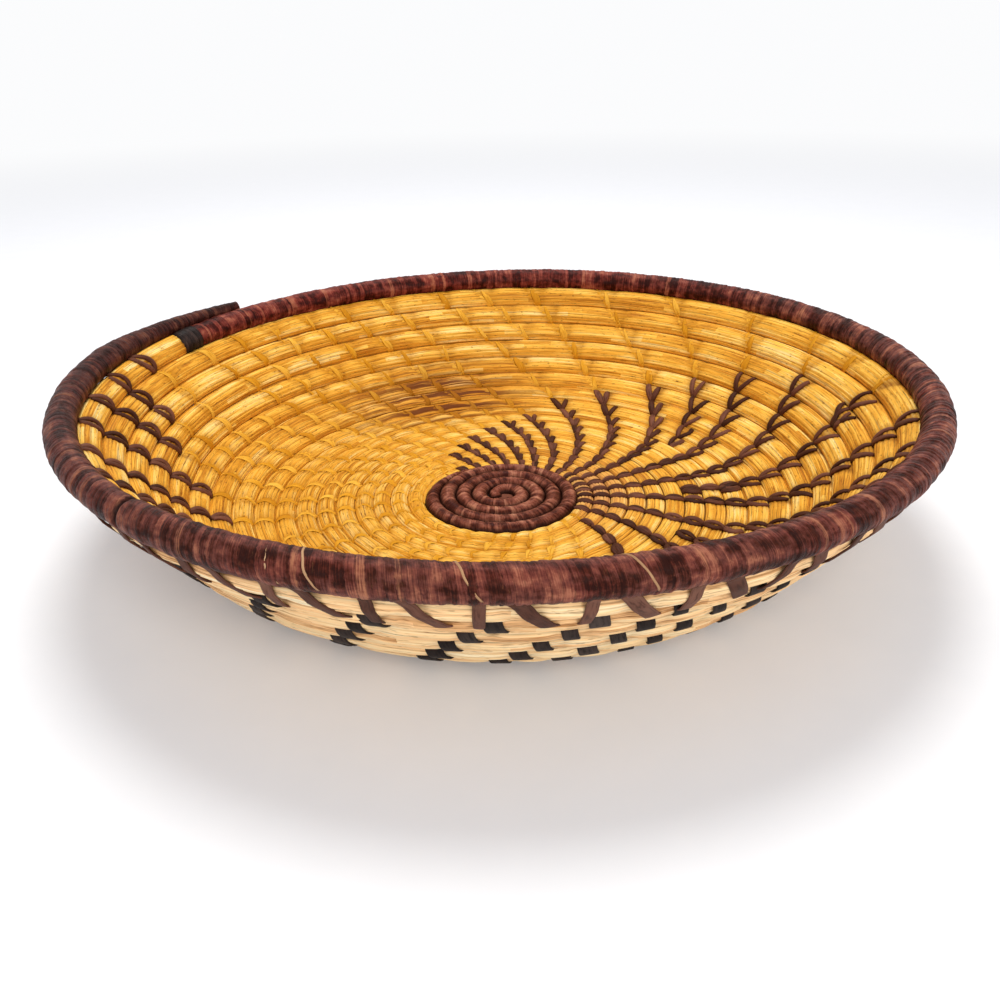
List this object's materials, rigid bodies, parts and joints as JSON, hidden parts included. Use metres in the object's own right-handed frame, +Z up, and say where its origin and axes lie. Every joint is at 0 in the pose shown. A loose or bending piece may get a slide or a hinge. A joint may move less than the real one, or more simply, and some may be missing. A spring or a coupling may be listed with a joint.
{
  "type": "coiled basket bowl",
  "caption": "Shallow round bowl of coiled straw basketry with a flat base, sloping wall, and a start disc and rim wound with a dark strip.",
  "frame": {"origin": "the middle of the bowl's outline seen from above, on the plane it stands on", "axes": "+Z up out of the bowl's mouth; +Y away from the side where the picture was taken, +X to the right"},
  "size_m": [0.3014, 0.2994, 0.0616],
  "materials": {
    "straw": "golden straw, satin",
    "inner_grass": "dry grass bundle, matte",
    "centre_strip": "dyed reddish brown leaf strip, satin",
    "rim_strip": "dyed reddish brown leaf strip, satin",
    "splice_strip": "dyed charcoal leaf strip, satin",
    "pale_strip": "undyed cream leaf strip, satin"
  },
  "bodies": {
    "root": {"centre_core": "inner_grass", "centre_wrap": "centre_strip", "base_coil": "straw", "bend_coil": "straw", "wall_coil": "straw", "rim_core": "inner_grass", "rim_splice_binding": "splice_strip", "rim_wrap": "rim_strip", "pale_rim_strip_1": "pale_strip", "pale_rim_strip_2": "pale_strip", "pale_rim_strip_3": "pale_strip", "pale_rim_strip_4": "pale_strip"}
  },
  "joints": []
}
